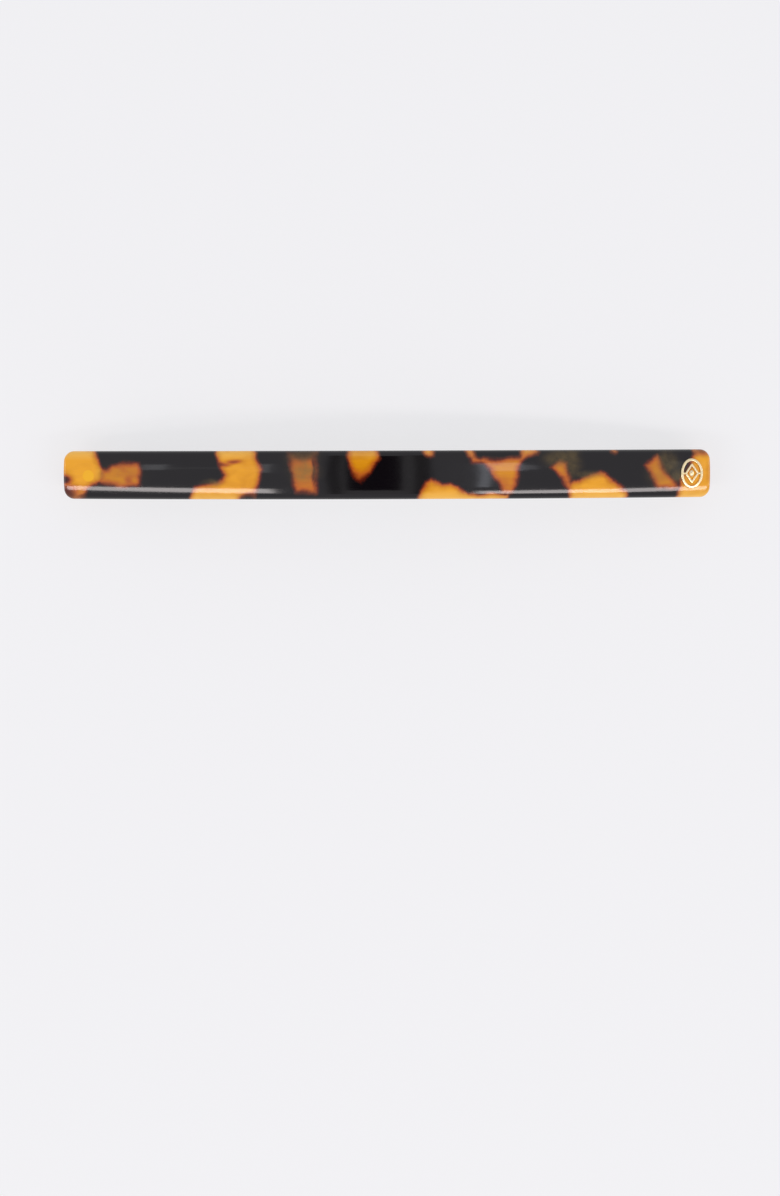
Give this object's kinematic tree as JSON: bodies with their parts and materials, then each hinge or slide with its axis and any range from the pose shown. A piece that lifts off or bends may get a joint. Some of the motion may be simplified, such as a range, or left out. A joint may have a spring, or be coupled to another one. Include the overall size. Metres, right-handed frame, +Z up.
{
  "type": "hair barrette",
  "caption": "Slim arched tortoiseshell acetate hair barrette with a small gilt emblem, on an automatic steel clasp with a hinged arm, a tension bar and a pinch-release catch.",
  "frame": {"origin": "on the surface that the closed barrette stands on, under the middle of its box", "axes": "+X along the bar towards the catch and the emblem, +Y across the bar, +Z up through its polished face"},
  "size_m": [0.1, 0.0074, 0.0146],
  "materials": {
    "acetate": "polished tortoiseshell acetate, black and brown with amber patches",
    "clasp_steel": "bright nickel-plated spring steel",
    "rivet_brass": "polished brass",
    "pin_steel": "turned steel",
    "spring_steel": "satin spring steel",
    "gilt": "polished pale gold plating"
  },
  "bodies": {
    "barrette_body": {"acetate_bar": "acetate", "base_plate": "clasp_steel", "mounting_rivets": "rivet_brass", "hinge_pin": "pin_steel", "catch_bracket": "spring_steel", "catch_rivet": "pin_steel", "emblem": "gilt"},
    "clasp_arm": {"clasp_arm": "clasp_steel"},
    "tension_bar": {"tension_bar": "spring_steel"},
    "catch_jaw_front": {"catch_jaw_front": "spring_steel"},
    "catch_jaw_back": {"catch_jaw_back": "spring_steel"}
  },
  "joints": [
    {"name": "arm_hinge", "type": "hinge", "parent": "barrette_body", "child": "clasp_arm", "pos_m": [-0.04097, 0, 0.0015], "axis": [0, 1, 0], "range_deg": [0, 70]},
    {"name": "tension_bar_flex", "type": "hinge", "parent": "barrette_body", "child": "tension_bar", "pos_m": [-0.04097, 0, 0.0015], "axis": [0, 1, 0], "range_deg": [0, 12]},
    {"name": "front_jaw_pinch", "type": "hinge", "parent": "barrette_body", "child": "catch_jaw_front", "pos_m": [0.0404, -0.0026, 0.00512], "axis": [0.9635, 0, -0.2676], "range_deg": [0, 8], "stiffness_Nm_per_rad": 0.002},
    {"name": "back_jaw_pinch", "type": "hinge", "parent": "barrette_body", "child": "catch_jaw_back", "pos_m": [0.0404, 0.0026, 0.00512], "axis": [-0.9635, 0, 0.2676], "range_deg": [0, 8], "stiffness_Nm_per_rad": 0.002}
  ],
  "couplings": [
    {"joint": "tension_bar_flex", "follows": "arm_hinge", "ratio": 0.15},
    {"joint": "back_jaw_pinch", "follows": "front_jaw_pinch", "ratio": 1}
  ]
}
